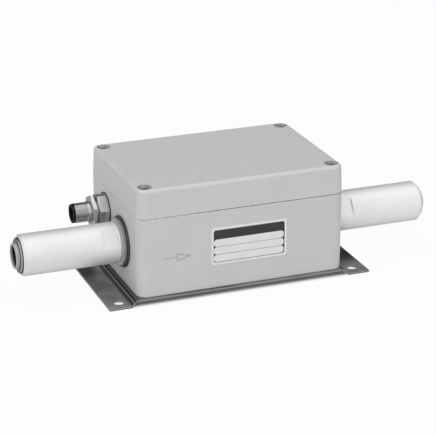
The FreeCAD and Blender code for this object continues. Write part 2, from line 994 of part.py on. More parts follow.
def make_connector_lock_nut():
    start = lock_nut_face()
    end = start + lock_nut_thickness
    nut = hexagon(lock_nut_across_flats, start, end, connector_y, connector_z, lock_nut_turn)
    return nut.cut(along_x(shell_seat_radius + thread_clearance, start, end, connector_y, connector_z))


def make_connector_shell():
    """The threaded tube: full thread in front of the lock nut, its root where nut and body grip it."""
    front = connector_out(shell_reach)
    back = -inner_end + inner_nut_thickness + adapter_tail
    thread_end = lock_nut_face() - seat_clearance
    return turned(
        [
            (front, shell_bore_radius),
            (front, shell_radius - shell_edge),
            (front + shell_edge, shell_radius),
            (thread_end, shell_radius),
            (thread_end, shell_seat_radius),
            (back, shell_seat_radius),
            (back, shell_bore_radius),
        ],
        connector_y,
        connector_z,
    )


def make_connector_insert():
    """The black carrier of the pins: a cup at the front with a coding key along its top."""
    rim = connector_out(shell_reach + insert_head)
    shell_front = connector_out(shell_reach)
    cup_floor = rim + insert_cup_depth
    back = rim + insert_length
    body_radius = shell_bore_radius - seat_clearance
    insert = turned(
        [
            (rim, insert_cup_radius),
            (rim, insert_head_radius),
            (shell_front, insert_head_radius),
            (shell_front, body_radius),
            (back, body_radius),
            (back, 0),
            (cup_floor, 0),
            (cup_floor, insert_cup_radius),
        ],
        connector_y,
        connector_z,
    )
    key_length = insert_cup_depth - insert_head
    key_low = connector_z + insert_cup_radius - key_height
    key_centre = V(cup_floor - key_length / 2, connector_y, key_low)
    key = block(key_length, key_width, 2 * key_height, key_centre)
    key = key.common(along_x(body_radius, rim, back, connector_y, connector_z))
    insert = insert.fuse(key).removeSplitter()
    for y, z, _ in lead_ends():
        insert = insert.cut(along_x(pin_radius + lead_clearance, cup_floor, back, y, z))
    return insert


def make_connector_pins():
    rim = connector_out(shell_reach + insert_head)
    front = rim + insert_cup_depth - pin_reach
    return Part.makeCompound([along_x(pin_radius, front, pin_tail_end(), y, z) for y, z, _ in lead_ends()])


def to_inlet(shape):
    """The same piece on the inlet side: both tubes are alike, mirrored across the middle."""
    return shape.mirror(V(0, 0, 0), V(1, 0, 0))


def in_tube_end(shape, reach):
    """A push-in fitting's piece moved into the outlet tube's end."""
    return shape.translated(V(half_length + reach, 0, 0))


nodes = {
    "mounting_plate": make_mounting_plate(),
    "plate_screws": make_plate_screws(),
    "housing_base": make_housing_base(),
    "housing_lid": make_housing_lid(),
    "lid_gasket": make_lid_gasket(),
    "lid_screws": make_lid_screws(),
    "rating_label": make_rating_label(),
    "measuring_block": make_measuring_block(),
    "flow_straightener": make_flow_straightener(),
    "vortex_bar": make_vortex_bar(),
    "pickup_probe": make_pickup_probe(),
    "probe_seal": make_probe_seal(),
    "probe_screws": make_probe_screws(),
    "circuit_board": make_circuit_board(),
    "board_screws": make_board_screws(),
    "signal_chip": make_signal_chip(),
    "capacitors": make_capacitors(),
    "trimmers": make_trimmers(),
    "terminal_block": make_terminal_block(),
    "connector_wires": make_connector_wires(),
    "probe_wires": make_probe_wires(),
    "connector_gasket": make_connector_gasket(),
    "connector_adapter": make_connector_adapter(),
    "connector_inner_nut": make_connector_inner_nut(),
    "connector_lock_nut": make_connector_lock_nut(),
    "connector_shell": make_connector_shell(),
    "connector_insert": make_connector_insert(),
    "connector_pins": make_connector_pins(),
}

nodes["inlet_tube"] = to_inlet(make_tube(inlet_reach))
nodes["outlet_tube"] = make_tube(outlet_reach)

wall_pieces = {
    "wall_seal": make_wall_seal(),
    "washer": make_washer(),
    "face_seal": make_face_seal(),
}
for name, shape in wall_pieces.items():
    nodes["inlet_" + name] = to_inlet(shape)
    nodes["outlet_" + name] = shape

fitting_pieces = {
    "collar": make_collar(),
    "grip_ring": make_grip_ring(),
    "hose_seal": make_hose_seal(),
}
for name, shape in fitting_pieces.items():
    nodes["inlet_" + name] = to_inlet(in_tube_end(shape, inlet_reach))
    nodes["outlet_" + name] = in_tube_end(shape, outlet_reach)

nodes["inlet_release_ring"] = to_inlet(in_tube_end(make_release_ring(inlet_ring_proud), inlet_reach))
nodes["outlet_release_ring"] = in_tube_end(make_release_ring(outlet_ring_proud), outlet_reach)

os.makedirs("parts", exist_ok=True)
for name, shape in nodes.items():
    placed = shape.translated(V(enclosure_shift, 0, 0))
    placed.exportStep("parts/" + name + ".step")
    print(name, len(placed.Solids), "solids", round(placed.Volume, 1), "mm3", placed.isValid())
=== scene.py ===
# %% [markdown]
# # An in-line air flow sensor
# A painted cast box stands on a bent steel plate. Air enters through the tube on the left and leaves
# through the tube on the right, and a round plug beside the inlet carries the signal away.
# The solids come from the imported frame. This lesson gives them their finishes and adds what is too
# fine for the solids: the plug's screw thread, the screw heads, the print on the label and an arrow.

# %% Load the frame
import json
import math

import bpy
import numpy as np
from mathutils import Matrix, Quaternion, Vector


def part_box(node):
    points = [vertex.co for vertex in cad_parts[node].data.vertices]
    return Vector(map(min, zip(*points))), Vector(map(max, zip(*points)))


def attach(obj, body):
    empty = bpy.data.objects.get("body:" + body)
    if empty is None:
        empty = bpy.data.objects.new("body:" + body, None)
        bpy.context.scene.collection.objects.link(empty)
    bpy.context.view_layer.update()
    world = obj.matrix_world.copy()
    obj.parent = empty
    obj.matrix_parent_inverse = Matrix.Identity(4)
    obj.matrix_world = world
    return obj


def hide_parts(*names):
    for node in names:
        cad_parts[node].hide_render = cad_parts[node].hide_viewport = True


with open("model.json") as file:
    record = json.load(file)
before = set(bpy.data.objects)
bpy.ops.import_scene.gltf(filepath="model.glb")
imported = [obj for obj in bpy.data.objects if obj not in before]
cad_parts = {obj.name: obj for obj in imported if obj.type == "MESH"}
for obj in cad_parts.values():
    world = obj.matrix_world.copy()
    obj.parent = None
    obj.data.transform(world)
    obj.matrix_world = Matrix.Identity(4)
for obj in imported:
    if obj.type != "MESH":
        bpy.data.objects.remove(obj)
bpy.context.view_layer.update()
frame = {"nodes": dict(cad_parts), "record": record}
nodes = frame["nodes"]
mm = 0.001

# %% [markdown]
# ## Camera
# The picture was taken with a long lens from the front left, a little above the lid. A long lens keeps
# the box's edges nearly parallel. The camera is placed by its direction from one aim point, because a
# direction and a distance are easier to adjust than three coordinates.

# %% Place the camera
camera_azimuth = math.radians(-21.24)
camera_elevation = math.radians(21.19)
camera_roll = math.radians(0.12)
camera_distance = 1.08974
camera_aim = Vector((2.09, 0.0, 29.42)) * mm
sensor_width = 36.0
picture_width = 436
focal_in_pixels = 1787.3

backwards = Vector((
    math.sin(camera_azimuth) * math.cos(camera_elevation),
    -math.cos(camera_azimuth) * math.cos(camera_elevation),
    math.sin(camera_elevation),
))
camera_data = bpy.data.cameras.new("portrait_camera")
camera_data.sensor_width = sensor_width
camera_data.lens = sensor_width * focal_in_pixels / picture_width
camera = bpy.data.objects.new("portrait_camera", camera_data)
bpy.context.scene.collection.objects.link(camera)
camera.location = camera_aim + backwards * camera_distance
camera.rotation_mode = "QUATERNION"
level_turn = (-backwards).to_track_quat("-Z", "Y")
camera.rotation_quaternion = level_turn @ Quaternion((0, 0, 1), camera_roll)
bpy.context.scene.camera = camera
print("camera at", [round(v / mm, 1) for v in camera.location], "lens", round(camera_data.lens, 1), "mm")

# %% [markdown]
# ## Node helpers
# A finish is a small graph of nodes. These helpers make one node each and hand back its output, so that
# a finish reads like a formula. A number or another node's output can go into every input.

# %% Arithmetic with nodes
def feed(tree, socket, value):
    """Put a plain value into a socket, or link another node's output to it."""
    if isinstance(value, bpy.types.NodeSocket):
        tree.links.new(value, socket)
    else:
        socket.default_value = value


def calc(tree, operation, a, b=None, clamp=False):
    """One arithmetic step on numbers."""
    node = tree.nodes.new("ShaderNodeMath")
    node.operation = operation
    node.use_clamp = clamp
    for socket, value in zip(node.inputs, (a, b)):
        if value is not None:
            feed(tree, socket, value)
    return node.outputs[0]


def vector_calc(tree, operation, a, b=None):
    """One arithmetic step on vectors."""
    node = tree.nodes.new("ShaderNodeVectorMath")
    node.operation = operation
    for socket, value in zip(node.inputs, (a, b)):
        if value is not None:
            feed(tree, socket, value)
    return node.outputs["Value"] if operation in ("LENGTH", "DOT_PRODUCT") else node.outputs["Vector"]


def axes_of(tree, vector):
    """The three numbers of a vector."""
    split = tree.nodes.new("ShaderNodeSeparateXYZ")
    feed(tree, split.inputs[0], vector)
    return split.outputs


print("arithmetic on numbers and vectors ready")

# %% [markdown]
# ### Masks and noise
# A mask is a number from 0 to 1 that says where something shows. It comes from a place on the piece, from
# the direction that the surface faces or from noise, carried to the range that is wanted.

# %% Masks and noise with nodes
def own_place(tree):
    """The point's own coordinates on the piece, in metres."""
    return tree.nodes.new("ShaderNodeTexCoord").outputs["Object"]


def facing(tree):
    """The direction that the surface faces, as three numbers."""
    return axes_of(tree, tree.nodes.new("ShaderNodeNewGeometry").outputs["Normal"])


def noise(tree, coordinates, scale, detail=2.0, roughness=0.5):
    """Cloudy noise from 0 to 1; scale is in clouds per metre."""
    node = tree.nodes.new("ShaderNodeTexNoise")
    feed(tree, node.inputs["Vector"], coordinates)
    feed(tree, node.inputs["Scale"], scale)
    node.inputs["Detail"].default_value = detail
    node.inputs["Roughness"].default_value = roughness
    return node.outputs["Fac"]


def remap(tree, value, low, high, new_low=0.0, new_high=1.0):
    """Carry a value from one range to another, easing in and out."""
    node = tree.nodes.new("ShaderNodeMapRange")
    node.interpolation_type = "SMOOTHSTEP"
    given = {"Value": value, "From Min": low, "From Max": high, "To Min": new_low, "To Max": new_high}
    for label, number in given.items():
        feed(tree, node.inputs[label], number)
    return node.outputs["Result"]


def band(tree, value, start, stop, soft):
    """1 between start and stop, 0 outside, with soft ends."""
    rise = remap(tree, value, start - soft, start + soft)
    return calc(tree, "MULTIPLY", rise, remap(tree, value, stop - soft, stop + soft, 1.0, 0.0))


print("masks and noise ready")

# %% [markdown]
# ### Colours
# A mask blends one colour into another. Colours are written by how bright they look on a screen, because
# that is how they are read off a picture, and most of this object is grey.

# %% Colours with nodes
neutral = (1.0, 1.0, 1.0)


def mix_colour(tree, factor, first, second):
    """Blend two colours, all first at 0 and all second at 1."""
    node = tree.nodes.new("ShaderNodeMix")
    node.data_type = "RGBA"
    feed(tree, node.inputs[0], factor)
    feed(tree, node.inputs[6], first)
    feed(tree, node.inputs[7], second)
    return node.outputs[2]


def grey(level, tint=neutral):
    """The linear colour that the shader takes, from how bright it looks, 0 to 1, and a tint."""
    linear = level / 12.92 if level <= 0.04045 else ((level + 0.055) / 1.055) ** 2.4
    return tuple(linear * hue for hue in tint) + (1.0,)


print("a grey that looks half bright has the linear value", round(grey(0.5)[0], 3))

# %% [markdown]
# ## Shared effects
# Several finishes need the same effects: a cloudy grain, wear and a painted highlight along a box's edges,
# the rings that a lathe leaves, and fields of print. Each effect is one node group with named inputs, so
# every finish sets its own strength. Grain is the simplest: two sizes of noise, one fine and one in wide
# patches.

# %% Grain
effects = {}
patch_ratio = 18.0


def start_group(name, inputs, outputs):
    """An empty node group; inputs are (name, kind, default) and outputs are names of plain values."""
    group = bpy.data.node_groups.new(name, "ShaderNodeTree")
    for label, kind, default in inputs:
        socket = group.interface.new_socket(name=label, in_out="INPUT", socket_type="NodeSocket" + kind)
        socket.default_value = default
    for label in outputs:
        group.interface.new_socket(name=label, in_out="OUTPUT", socket_type="NodeSocketFloat")
    entry = group.nodes.new("NodeGroupInput")
    leave = group.nodes.new("NodeGroupOutput")
    return group, entry.outputs, leave.inputs


def build_grain():
    """Fine grain at the given scale, and slow patches that are wider by the patch ratio."""
    group, given, result = start_group("grain", [("Scale", "Float", 1500.0)], ["Fine", "Patch"])
    place = own_place(group)
    wide = calc(group, "DIVIDE", given["Scale"], patch_ratio)
    feed(group, result["Fine"], noise(group, place, given["Scale"], 3.0, 0.6))
    feed(group, result["Patch"], noise(group, place, wide, 3.0, 0.55))
    return group


effects["grain"] = build_grain()
print("grain has", len(effects["grain"].nodes), "nodes")

# %% [markdown]
# ### Edge wear and highlight
# Paint wears off where two faces of a box meet, and light catches such an edge; both are painted lighter,
# so this mask is for wear and a painted highlight. The distance of a point from each pair of faces is known
# from the box's middle and half size, so an edge is where two of these distances are small at once.

# %% Edge wear
def build_edge_wear_and_highlight():
    """How worn and how lit a box's edge is, as one mask: 1 where two of its faces meet, 0 further in, broken
    up by noise.
    """
    group, given, result = start_group(
        "edge_wear_and_highlight",
        [("Centre", "Vector", (0, 0, 0)), ("Half Size", "Vector", (1, 1, 1)), ("Width", "Float", mm)],
        ["Wear"],
    )
    place = own_place(group)
    outwards = vector_calc(group, "ABSOLUTE", vector_calc(group, "SUBTRACT", place, given["Centre"]))
    inset = axes_of(group, vector_calc(group, "SUBTRACT", given["Half Size"], outwards))
    near = [remap(group, inset[axis], 0.0, given["Width"], 1.0, 0.0) for axis in range(3)]
    pairs = [calc(group, "MULTIPLY", near[axis], near[axis - 1]) for axis in range(3)]
    edge = calc(group, "MAXIMUM", calc(group, "MAXIMUM", pairs[0], pairs[1]), pairs[2])
    patchy = remap(group, noise(group, place, 420.0, 4.0, 0.65), 0.42, 0.68)
    feed(group, result["Wear"], calc(group, "MULTIPLY", edge, patchy))
    return group


effects["edge_wear_and_highlight"] = build_edge_wear_and_highlight()
print("edge wear has", len(effects["edge_wear_and_highlight"].nodes), "nodes")

# %% [markdown]
# ### Lathe rings
# A lathe leaves rings round its axis, on a tube's side as well as on its end. Noise of one number gives
# them: the distance along the axis plus the distance from it changes on both kinds of face.

# %% Lathe rings
def build_turning():
    """Rings round an axis along X: noise of the distance along the axis plus the distance from it."""
    group, given, result = start_group(
        "turning", [("Axis", "Vector", (0, 0, 0)), ("Rings", "Float", 4000.0)], ["Ring", "Radius", "Along"])
    off_axis = vector_calc(group, "SUBTRACT", own_place(group), given["Axis"])
    along = axes_of(group, off_axis)["X"]
    radius = vector_calc(group, "LENGTH", vector_calc(group, "MULTIPLY", off_axis, (0, 1, 1)))
    ring = group.nodes.new("ShaderNodeTexNoise")
    ring.noise_dimensions = "1D"
    feed(group, ring.inputs["W"], calc(group, "ADD", along, radius))
    feed(group, ring.inputs["Scale"], given["Rings"])
    ring.inputs["Detail"].default_value = 2.0
    for label, value in (("Ring", ring.outputs["Fac"]), ("Radius", radius), ("Along", along)):
        feed(group, result[label], value)
    return group


effects["turning"] = build_turning()
print("lathe rings have", len(effects["turning"].nodes), "nodes")

# %% [markdown]
# ### Print
# A field of print is a rounded rectangle. A formula for the distance to its outline draws it sharply at
# any size, where a picture of it would blur when the camera comes close.

# %% Print field
ink_blur = 0.04 * mm


def build_print_field():
    """1 inside an upright rounded rectangle that faces Y, 0 outside.

    The distance to its outline is the length of the part of (|offset| - half size + corner) above zero,
    less the corner's radius.
    """
    group, given, result = start_group(
        "print_field",
        [("Centre", "Vector", (0, 0, 0)), ("Half Size", "Vector", (1, 1, 1)), ("Corner", "Float", mm)],
        ["Ink"],
    )
    offset = vector_calc(group, "SUBTRACT", own_place(group), given["Centre"])
    flat = vector_calc(group, "MULTIPLY", vector_calc(group, "ABSOLUTE", offset), (1, 0, 1))
    corner = group.nodes.new("ShaderNodeCombineXYZ")
    for axis in range(3):
        feed(group, corner.inputs[axis], given["Corner"])
    inner = vector_calc(group, "SUBTRACT", given["Half Size"], corner.outputs[0])
    beyond = vector_calc(group, "MAXIMUM", vector_calc(group, "SUBTRACT", flat, inner), (0, 0, 0))
    distance = calc(group, "SUBTRACT", vector_calc(group, "LENGTH", beyond), given["Corner"])
    feed(group, result["Ink"], remap(group, distance, -ink_blur, ink_blur, 1.0, 0.0))
    return group


effects["print_field"] = build_print_field()
print("shared effects:", ", ".join(effects))

# %% [markdown]
# ## Finishes
# Each finish starts from the same shader. Its colour, gloss and fine relief vary over the surface by the
# shared effects, because a real surface is never one flat colour.

# %% Helpers for finishes
finishes = {}


def use_effect(tree, name, **values):
    """Place a shared effect in a finish and set its inputs; returns its outputs."""
    node = tree.nodes.new("ShaderNodeGroup")
    node.node_tree = effects[name]
    for label, value in values.items():
        feed(tree, node.inputs[label.replace("_", " ")], value)
    return node.outputs


def start_finish(name, **settings):
    """A new material; the settings are constant values on the shader's own sockets."""
    material = bpy.data.materials.new(name)
    material.use_nodes = True
    tree = material.node_tree
    shader = tree.nodes["Principled BSDF"]
    for label, value in settings.items():
        shader.inputs[label.replace("_", " ")].default_value = value
    return material, tree, shader.inputs


def raise_relief(tree, sockets, height, depth, strength):
    """Fine relief: the height runs from 0 to 1 and stands for depth metres."""
    bump = tree.nodes.new("ShaderNodeBump")
    bump.inputs["Strength"].default_value = strength
    bump.inputs["Distance"].default_value = depth
    feed(tree, bump.inputs["Height"], height)
    feed(tree, sockets["Normal"], bump.outputs["Normal"])


def box_of(name):
    """A solid's middle and half size, in metres."""
    low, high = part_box(name)
    return (low + high) / 2, (high - low) / 2


print("box is", [round(2 * v / mm, 1) for v in box_of("housing_base")[1]], "mm without its lid")

# %% [markdown]
# ### Painted shade on the casting
# The lid meets the base in a thin joint, and the lid's screws sit in wells. Shade is painted into both:
# darker in the joint, mostly along the front, and in the wells round the lid's screws. Both are masks:
# a band round the joint's height, and a circle round each screw.

# %% Masks for the dirt
lid_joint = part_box("housing_lid")[0].z
joint_shade_half_width = 0.25 * mm
joint_shade_blur = 0.1 * mm
faint_until = -37.0 * mm
darkest_from = -26.0 * mm
# a lid screw's head, in millimetres
head_radius = 3.7
well_play = 0.5 * mm
well_blur = 0.1 * mm


def find_joint_shade(tree):
    """Painted shade in the joint: a band round its height, weaker on the end walls and towards the inlet."""
    place = axes_of(tree, own_place(tree))
    line = band(tree, place["Z"], lid_joint - joint_shade_half_width, lid_joint + joint_shade_half_width, joint_shade_blur)
    off_ends = remap(tree, calc(tree, "ABSOLUTE", facing(tree)["X"]), 0.5, 0.95, 1.0, 0.2)
    along = remap(tree, place["X"], faint_until, darkest_from, 0.4, 0.85)
    return calc(tree, "MULTIPLY", calc(tree, "MULTIPLY", line, off_ends), along)


def find_well_shade(tree):
    """Painted shade in the wells: the four corners are folded onto one, and a well is a circle round its
    screw.
    """
    middle, half = box_of("lid_screws")
    screw = (half.x - head_radius * mm, half.y - head_radius * mm, 0)
    folded = vector_calc(tree, "ABSOLUTE", vector_calc(tree, "SUBTRACT", own_place(tree), middle))
    flat = vector_calc(tree, "MULTIPLY", vector_calc(tree, "SUBTRACT", folded, screw), (1, 1, 0))
    well_edge = head_radius * mm + well_play
    distance = vector_calc(tree, "LENGTH", flat)
    inside = remap(tree, distance, well_edge - well_blur, well_edge + well_blur, 1.0, 0.0)
    spots = remap(tree, noise(tree, own_place(tree), 500.0), 0.42, 0.58, 0.05, 0.55)
    return calc(tree, "MULTIPLY", inside, spots)


print("lid joint at", round(lid_joint / mm, 1), "mm above the feet")

# %% [markdown]
# ### Painted casting
# The box is cast aluminium under a light grey stoved paint. Such paint has a fine orange peel, and it wears
# thin at the corners; the edges are painted lighter, partly as wear and partly as a painted highlight.
# Lid and base share the paint, and each gets its own box for the edges.

# %% Paint for the box
paint_dark = 0.747
paint_light = 0.777
worn_and_highlight_level = 0.86
worn_and_highlight_share = 0.55
wear_width = 1.6 * mm
joint_shade_level = 0.40
well_shade_level = 0.20
peel_depth = 0.02 * mm


def make_paint(name, node):
    """Cloudy grey paint, lighter at the edges with wear and a painted highlight, darker with painted shade
    in the joint and the wells.
    """
    centre, half = box_of(node)
    material, tree, sockets = start_finish(name)
    grain = use_effect(tree, "grain", Scale=1400.0)
    wear_and_highlight = use_effect(tree, "edge_wear_and_highlight", Centre=centre, Half_Size=half, Width=wear_width)["Wear"]
    colour = mix_colour(tree, grain["Patch"], grey(paint_dark), grey(paint_light))
    # the edges' lighter grey is partly wear and partly a painted highlight
    colour = mix_colour(tree, calc(tree, "MULTIPLY", wear_and_highlight, worn_and_highlight_share), colour, grey(worn_and_highlight_level))
    # painted shade in the joint between lid and base
    colour = mix_colour(tree, find_joint_shade(tree), colour, grey(joint_shade_level))
    # painted shade in the wells round the lid's screws
    colour = mix_colour(tree, find_well_shade(tree), colour, grey(well_shade_level))
    feed(tree, sockets["Base Color"], colour)
    feed(tree, sockets["Roughness"], remap(tree, grain["Fine"], 0.2, 0.8, 0.44, 0.56))
    raise_relief(tree, sockets, grain["Fine"], peel_depth, 0.35)
    return material


finishes["housing_base"] = make_paint("base_paint", "housing_base")
finishes["housing_lid"] = make_paint("lid_paint", "housing_lid")
print("paint between", paint_dark, "and", paint_light)

# %% [markdown]
# ### Marks on the plate
# Light and shade are painted at the plate's bends: painted shade in a margin beside the box, then down the
# ramp a black painted reflection, a light painted highlight and a dark line of painted shade in the lower
# bend. A soft painted shadow lies on each foot. A mark is a band of the distance from the middle, and a
# shadow is an ellipse.

# %% Marks on the plate
bend_start = 66.3 * mm
bend_end = 69.3 * mm
highlight_start = bend_end - 2.0 * mm
highlight_end = bend_end - 1.5 * mm
# where each mark starts and ends, and its level
# from the box outwards: painted shade, a painted reflection, a painted highlight, painted shade
bend_light_marks = (
    (bend_start - 2.0 * mm, bend_start, 0.34),
    (bend_start, highlight_start, 0.06),
    (highlight_start, highlight_end, 0.54),
    (highlight_end, bend_end - 0.1 * mm, 0.22),
)
mark_blur = 0.1 * mm
mark_share = 0.9
# the middle of each painted shadow and its reach, in millimetres
foot_shadows = (((-80.0, 18.0), (11.0, 22.0)), ((79.0, -4.0), (26.0, 34.0)))
foot_shadow_level = 0.22
foot_shadow_share = 0.85


# painted shadows on the feet
def shade_feet(tree, skin):
    """The skin with a painted shadow on each foot, each full in its inner part and gone at its reach."""
    for (x, y), (reach_x, reach_y) in foot_shadows:
        offset = vector_calc(tree, "SUBTRACT", own_place(tree), (x * mm, y * mm, 0))
        share = vector_calc(tree, "MULTIPLY", offset, (1 / (reach_x * mm), 1 / (reach_y * mm), 0))
        shadowed = remap(tree, vector_calc(tree, "LENGTH", share), 0.4, 1.0, foot_shadow_share, 0.0)
        skin = mix_colour(tree, shadowed, skin, grey(foot_shadow_level))
    return skin


def paint_bend_light(tree, skin, outwards):
    """The skin with painted shade, reflection and highlight across the bends."""
    for start, stop, level in bend_light_marks:
        mark = calc(tree, "MULTIPLY", band(tree, outwards, start, stop, mark_blur), mark_share)
        skin = mix_colour(tree, mark, skin, grey(level))
    return skin


print(len(bend_light_marks), "marks at each bend,", len(foot_shadows), "oil stains")

# %% [markdown]
# ### Steel plate
# The plate is rolled steel with a dark, cloudy mill skin. Shearing polishes the upper half of a cut edge
# and tears the lower half, so an edge is bright above and dull below; the bright upper half is also a
# painted highlight. The height of the sheet's middle follows the ramp, and a face that looks sideways is a
# cut edge.

# %% Finish of the plate
skin_dark = 0.42
skin_light = 0.61
torn_level = 0.40
polished_and_highlight_level = 0.57
sheet_half = 0.6 * mm
shear_blur = 0.2 * mm
platform_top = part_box("housing_base")[0].z
mill_depth = 0.03 * mm


def make_plate_steel():
    """Mill skin with painted shadows and painted light at the bends on the faces, and two levels on the cut
    edges.
    """
    material, tree, sockets = start_finish("plate_steel", Metallic=0.5)
    grain = use_effect(tree, "grain", Scale=900.0)
    place = axes_of(tree, own_place(tree))
    outwards = calc(tree, "ABSOLUTE", place["X"])
    skin = mix_colour(tree, remap(tree, grain["Patch"], 0.32, 0.68), grey(skin_dark), grey(skin_light))
    skin = paint_bend_light(tree, shade_feet(tree, skin), outwards)
    sheet_middle = remap(tree, outwards, bend_start, bend_end, platform_top - sheet_half, sheet_half)
    polish = remap(tree, calc(tree, "SUBTRACT", place["Z"], sheet_middle), -shear_blur, shear_blur)
    # the lighter upper half of a cut edge is polish and a painted highlight
    edge = mix_colour(tree, polish, grey(torn_level), grey(polished_and_highlight_level))
    sheared = remap(tree, calc(tree, "ABSOLUTE", facing(tree)["Z"]), 0.25, 0.45, 1.0, 0.0)
    feed(tree, sockets["Base Color"], mix_colour(tree, sheared, skin, edge))
    feed(tree, sockets["Roughness"], remap(tree, grain["Fine"], 0.2, 0.8, 0.38, 0.6))
    raise_relief(tree, sockets, grain["Fine"], mill_depth, 0.4)
    return material


finishes["plate_steel"] = make_plate_steel()
print("plate is", round(2 * box_of("mounting_plate")[1].x / mm, 1), "mm long")

# %% [markdown]
# ### Turned metal
# The tubes are clear anodised aluminium turned on a lathe, so their sheen has fine rings. Washers, plug
# and collars are turned too, in plated steel and brass. One recipe serves them all: two levels of grey,
# with gloss and relief that follow the lathe's rings. It can add a dark line round a joint, and another
# level beyond a rim.

# %% Recipe for turned metal
edge_on = grey(0.3)
rim_blur = 0.1 * mm
line_core = 0.4 * mm
line_end = 0.9 * mm
line_share = 0.95
rough_spread = 0.05
ring_depth = 0.01 * mm


def make_turned_metal(name, axis, dark, light, rings, rough, metallic, joint=None, rim=None, tint=neutral):
    """Turned metal between two levels of grey, less shiny seen edge-on.

    joint is a place along X and the level of a dark line round it; rim is a radius and the level beyond it.
    """
    material, tree, sockets = start_finish(name, Metallic=metallic, Specular_Tint=edge_on)
    turning = use_effect(tree, "turning", Axis=axis, Rings=rings)
    grain = use_effect(tree, "grain", Scale=700.0)
    tone = calc(tree, "MULTIPLY", calc(tree, "ADD", turning["Ring"], grain["Patch"]), 0.5)
    colour = mix_colour(tree, remap(tree, tone, 0.3, 0.7), grey(dark, tint), grey(light, tint))
    if rim is not None:
        beyond = remap(tree, turning["Radius"], rim[0] - rim_blur, rim[0] + rim_blur)
        colour = mix_colour(tree, beyond, colour, grey(rim[1]))
    if joint is not None:
        apart = calc(tree, "ABSOLUTE", calc(tree, "SUBTRACT", turning["Along"], joint[0]))
        line = remap(tree, apart, line_core, line_end, line_share, 0.0)
        colour = mix_colour(tree, line, colour, grey(joint[1]))
    roughness = remap(tree, turning["Ring"], 0.25, 0.75, rough - rough_spread, rough + rough_spread)
    feed(tree, sockets["Base Color"], colour)
    feed(tree, sockets["Roughness"], roughness)
    raise_relief(tree, sockets, turning["Ring"], ring_depth, 0.3)
    return material


print("dark lines are", round(2 * line_end / mm, 1), "mm wide")

# %% [markdown]
# ### Tubes, washers, plug and screws
# The turned pieces differ by their levels, the density of the rings, the gloss and how metallic they are.
# The outlet's tube and collar are painted lighter than the inlet's, as painted light.
# Painted shade makes a dark line round the inlet's collar, in the gap at the tube's mouth. The plug's front
# edge and the place where a washer meets its rubber ring get a darker line too.
# The contacts are gilt, so they alone among these have a tint.

# %% Turned finishes
tube_axis = Vector((0.0, box_of("inlet_tube")[0].y, box_of("inlet_tube")[0].z))
plug_axis = Vector((0.0, box_of("connector_shell")[0].y, box_of("connector_shell")[0].z))
middle_line = Vector((0.0, 0.0, 0.0))
# painted shade in the gap between the inlet's collar and the tube's mouth
collar_gap_shade = (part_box("inlet_tube")[0].x, 0.32)
plug_front_line = (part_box("connector_shell")[0].x, 0.14)
inlet_washer_line = (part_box("inlet_washer")[1].x, 0.25)
outlet_washer_line = (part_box("outlet_washer")[0].x, 0.25)
dull_rim = (box_of("inlet_washer")[1].z - 0.8 * mm, 0.55)
gilt = (1.0, 0.78, 0.40)

# finish: name, axis, dark and light level, rings, roughness, metallic, then dark line, rim and tint if any
turned_finishes = {
    "tube_aluminium": ("anodised_tube", tube_axis, 0.865, 0.895, 2600.0, 0.50, 0.5),
    # the outlet's tube is painted lighter than the inlet's, as painted light
    "outlet_tube": ("outlet_anodised", tube_axis, 0.885, 0.915, 2600.0, 0.50, 0.5),
    "inlet_washer": ("inlet_washer_steel", tube_axis, 0.80, 0.86, 3500.0, 0.5, 0.5, inlet_washer_line, dull_rim),
    "outlet_washer": ("outlet_washer_steel", tube_axis, 0.80, 0.86, 3500.0, 0.5, 0.5, outlet_washer_line, dull_rim),
    "inlet_collar": ("inlet_collar", tube_axis, 0.60, 0.72, 4000.0, 0.32, 0.8, collar_gap_shade),
    # the outlet's collar is painted lighter than the inlet's, as painted light
    "outlet_collar": ("outlet_collar", tube_axis, 0.82, 0.88, 4000.0, 0.4, 0.4),
    "nickel": ("nickel_plate", plug_axis, 0.76, 0.88, 5200.0, 0.26, 0.8),
    "threaded_shell": ("shell_plate", plug_axis, 0.74, 0.84, 5200.0, 0.26, 1.0, plug_front_line),
    "connector_lock_nut": ("nut_plate", plug_axis, 0.76, 0.86, 5200.0, 0.30, 0.7),
    "screw_steel": ("zinc_screw", middle_line, 0.24, 0.42, 900.0, 0.32, 0.8),
    "spring_steel": ("spring_steel", tube_axis, 0.50, 0.62, 3000.0, 0.28, 1.0),
    "brass": ("gilt_pin", plug_axis, 0.80, 0.90, 4000.0, 0.2, 0.7, None, None, gilt),
}
for finish, values in turned_finishes.items():
    finishes[finish] = make_turned_metal(*values)
print("turned finishes:", len(turned_finishes))

# %% [markdown]
# ### Rubber and plastic
# Moulded pieces have no rings. They have a matt bloom that is a little lighter in patches, and a fine
# texture from the mould. The release rings are light outside and at the mouth, and black further in,
# where shade is painted into the bore.

# %% Recipe for moulded pieces
bore_radius = 6.75 * mm
bore_blur = 0.2 * mm
bore_shade_level = 0.12
mouth_depth = 1.2 * mm
mouth_blur = 0.3 * mm
bloom_spread = 0.08
mould_depth = 0.01 * mm


def shade_bore(tree, colour, mouth):
    """The colour with painted shade in the bore: black inside the bore's radius and deeper along X than its
    mouth.
    """
    turning = use_effect(tree, "turning", Axis=tube_axis)
    inside = remap(tree, turning["Radius"], bore_radius, bore_radius + bore_blur, 1.0, 0.0)
    depth = calc(tree, "ABSOLUTE", calc(tree, "SUBTRACT", turning["Along"], mouth))
    beyond = remap(tree, depth, mouth_depth - mouth_blur, mouth_depth + mouth_blur)
    return mix_colour(tree, calc(tree, "MULTIPLY", inside, beyond), colour, grey(bore_shade_level))


